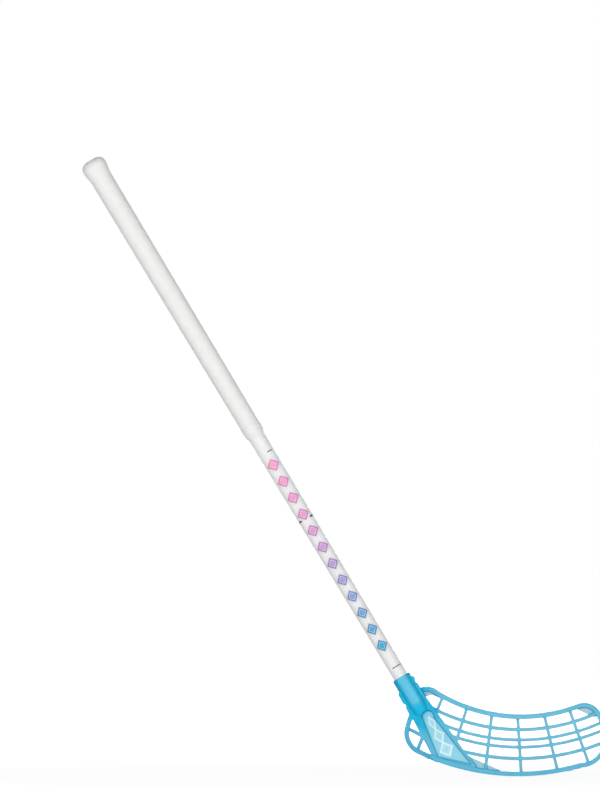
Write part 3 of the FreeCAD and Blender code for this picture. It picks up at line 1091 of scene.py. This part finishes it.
class STICK_OT_set_stage(bpy.types.Operator):
    """Set the floor, the light and the camera"""

    bl_idname = "stick.set_stage"
    bl_label = "Set Stage"

    # The floor shows its shadow near the stick and melts into the white backdrop between two distances.
    melt_distances = (0.45, 1.6)
    melt_shares = (0.7, 1)
    melt_strength = 1.2

    def seen_directly(self, shader):
        """1 for rays that show the backdrop itself: from the camera, off gloss or through the plastic."""
        path = shader.node("LightPath")
        total = path.outputs["Is Camera Ray"]
        for name in ("Is Glossy Ray", "Is Transmission Ray"):
            total = shader.math("MAXIMUM", total, path.outputs[name])
        return total

    def light_world(self, settings):
        sky = Shader(bpy.data.worlds.new("studio"))
        background = sky.tree.nodes["Background"]
        sky.put(background.inputs["Color"], (1, 1, 1))
        sky.put(background.inputs["Strength"], sky.spread(self.seen_directly(sky), settings.ambient, 1))
        bpy.context.scene.world = sky.owner

    def lay_floor(self, settings):
        middle = (settings.aim[0], 0, cad_box[0].z)
        bm = bmesh.new()
        bmesh.ops.create_grid(bm, x_segments=1, y_segments=1, size=settings.floor_size / 2)
        bmesh.ops.translate(bm, verts=bm.verts, vec=middle)
        mesh = bpy.data.meshes.new("floor")
        bm.to_mesh(mesh)
        bm.free()
        floor = bpy.data.objects.new("floor", mesh)
        bpy.context.scene.collection.objects.link(floor)

        paper = Shader(bpy.data.materials.new("floor_paper"))
        away = paper.node("VectorMath", {0: paper.place(), 1: middle}, operation="DISTANCE")
        bright = paper.spread(
            away.outputs["Value"], *self.melt_shares, *self.melt_distances,
            interpolation_type="SMOOTHSTEP",
        )
        share = paper.math("MULTIPLY", self.seen_directly(paper), bright)
        white = paper.node("Emission", {"Strength": self.melt_strength}).outputs[0]
        blend = paper.node("MixShader", {0: share, 1: paper.surface.outputs[0], 2: white}).outputs[0]
        paper.put(paper.tree.nodes["Material Output"].inputs["Surface"], blend)
        mesh.materials.append(
            paper.finish(Base_Color=(0.9, 0.9, 0.9), Roughness=0.9, Specular_IOR_Level=0)
        )

    def hang_lamp(self, name, settings):
        light = bpy.data.lights.new(name, "AREA")
        light.shape = "RECTANGLE"
        light.size, light.size_y = settings.lamp_size
        light.energy = getattr(settings, name + "_power")
        lamp = bpy.data.objects.new(name, light)
        lamp.location = getattr(settings, name + "_place")
        lamp.visible_camera = False
        lamp.rotation_euler = (Vector(settings.aim) - lamp.location).to_track_quat("-Z", "Y").to_euler()
        bpy.context.scene.collection.objects.link(lamp)

    def set_camera(self, settings):
        data = bpy.data.cameras.new("camera")
        data.sensor_width = 36
        data.lens = data.sensor_width * settings.distance / settings.view_height
        camera = bpy.data.objects.new("camera", data)
        camera.location = Vector(settings.aim) + FRONT * settings.distance
        camera.rotation_euler = (math.radians(90), 0, 0)
        bpy.context.scene.collection.objects.link(camera)
        bpy.context.scene.camera = camera

    def execute(self, context):
        settings = context.scene.stick_stage
        self.light_world(settings)
        self.lay_floor(settings)
        for name in ("key", "fill", "back"):
            self.hang_lamp(name, settings)
        self.set_camera(settings)
        context.scene.view_settings.view_transform = "Standard"
        return {"FINISHED"}


OPERATORS = (
    STICK_OT_set_stage,
    STICK_OT_turn_shaft,
    STICK_OT_plug_butt,
    STICK_OT_wind_grip,
    STICK_OT_bind_grip,
    STICK_OT_mould_blade,
    STICK_OT_melt_glue,
)
SETTINGS = {
    "stick_shaft": ShaftSettings,
    "stick_grip": GripSettings,
    "stick_blade": BladeSettings,
    "stick_stage": StageSettings,
}


class STICK_PT_build(bpy.types.Panel):
    """All steps and sizes of the stick"""

    bl_idname = "STICK_PT_build"
    bl_label = "Floorball Stick"
    bl_space_type = "VIEW_3D"
    bl_region_type = "UI"
    bl_category = "Stick"

    def draw(self, context):
        for operator in OPERATORS:
            self.layout.operator(operator.bl_idname)
        for name, group in SETTINGS.items():
            box = self.layout.box()
            box.label(text=group.__doc__)
            for key in group.__annotations__:
                box.prop(getattr(context.scene, name), key)


CLASSES = (*SETTINGS.values(), *OPERATORS, STICK_PT_build)


def register():
    for cls in CLASSES:
        bpy.utils.register_class(cls)
    for name, group in SETTINGS.items():
        setattr(bpy.types.Scene, name, PointerProperty(type=group))


def unregister():
    for name in SETTINGS:
        delattr(bpy.types.Scene, name)
    for cls in reversed(CLASSES):
        bpy.utils.unregister_class(cls)


def main():
    register()
    bpy.ops.stick.set_stage()
    bpy.ops.stick.turn_shaft()
    bpy.ops.stick.plug_butt()
    bpy.ops.stick.wind_grip()
    bpy.ops.stick.bind_grip()
    bpy.ops.stick.mould_blade()
    bpy.ops.stick.melt_glue()


if __name__ == "__main__":
    main()
